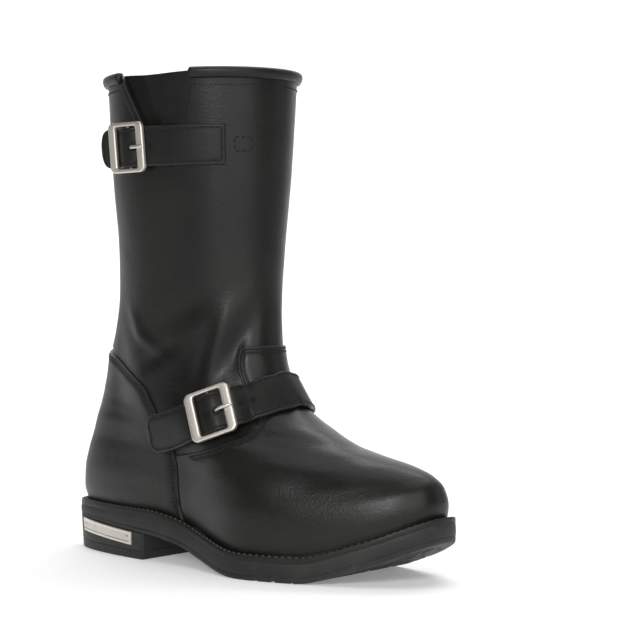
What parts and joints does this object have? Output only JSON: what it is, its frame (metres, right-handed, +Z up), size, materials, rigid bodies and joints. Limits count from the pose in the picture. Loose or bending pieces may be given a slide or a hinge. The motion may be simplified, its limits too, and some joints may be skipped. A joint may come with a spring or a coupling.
{
  "type": "engineer boot",
  "caption": "Tall black leather engineer boot for the right foot, with a gusseted collar, a buckled strap at the collar and over the instep, and a stacked rubber heel.",
  "frame": {"origin": "on the floor under the middle of the heel block", "axes": "+Z up, +X towards the toe, +Y to the inner side of the foot, -Y to the outer side with the buckles"},
  "size_m": [0.3063, 0.12, 0.3238],
  "materials": {
    "black_leather": "smooth full-grain black leather, satin",
    "inner_leather": "matte dark leather",
    "black_rubber": "matte black rubber",
    "antique_nickel": "antique nickel plate, softly worn"
  },
  "bodies": {
    "root": {"outsole": "black_rubber", "heel": "black_rubber", "welt": "inner_leather", "insole": "inner_leather", "heel_badge": "antique_nickel", "upper": "black_leather", "vamp": "black_leather", "counter": "black_leather", "backstay": "black_leather", "gusset": "black_leather", "collar_binding": "black_leather", "ankle_strap": "black_leather", "ankle_buckle": "antique_nickel", "ankle_prong": "antique_nickel", "ankle_chape": "black_leather", "shaft_strap": "black_leather", "shaft_buckle": "antique_nickel", "shaft_prong": "antique_nickel", "shaft_chape": "black_leather"}
  },
  "joints": []
}
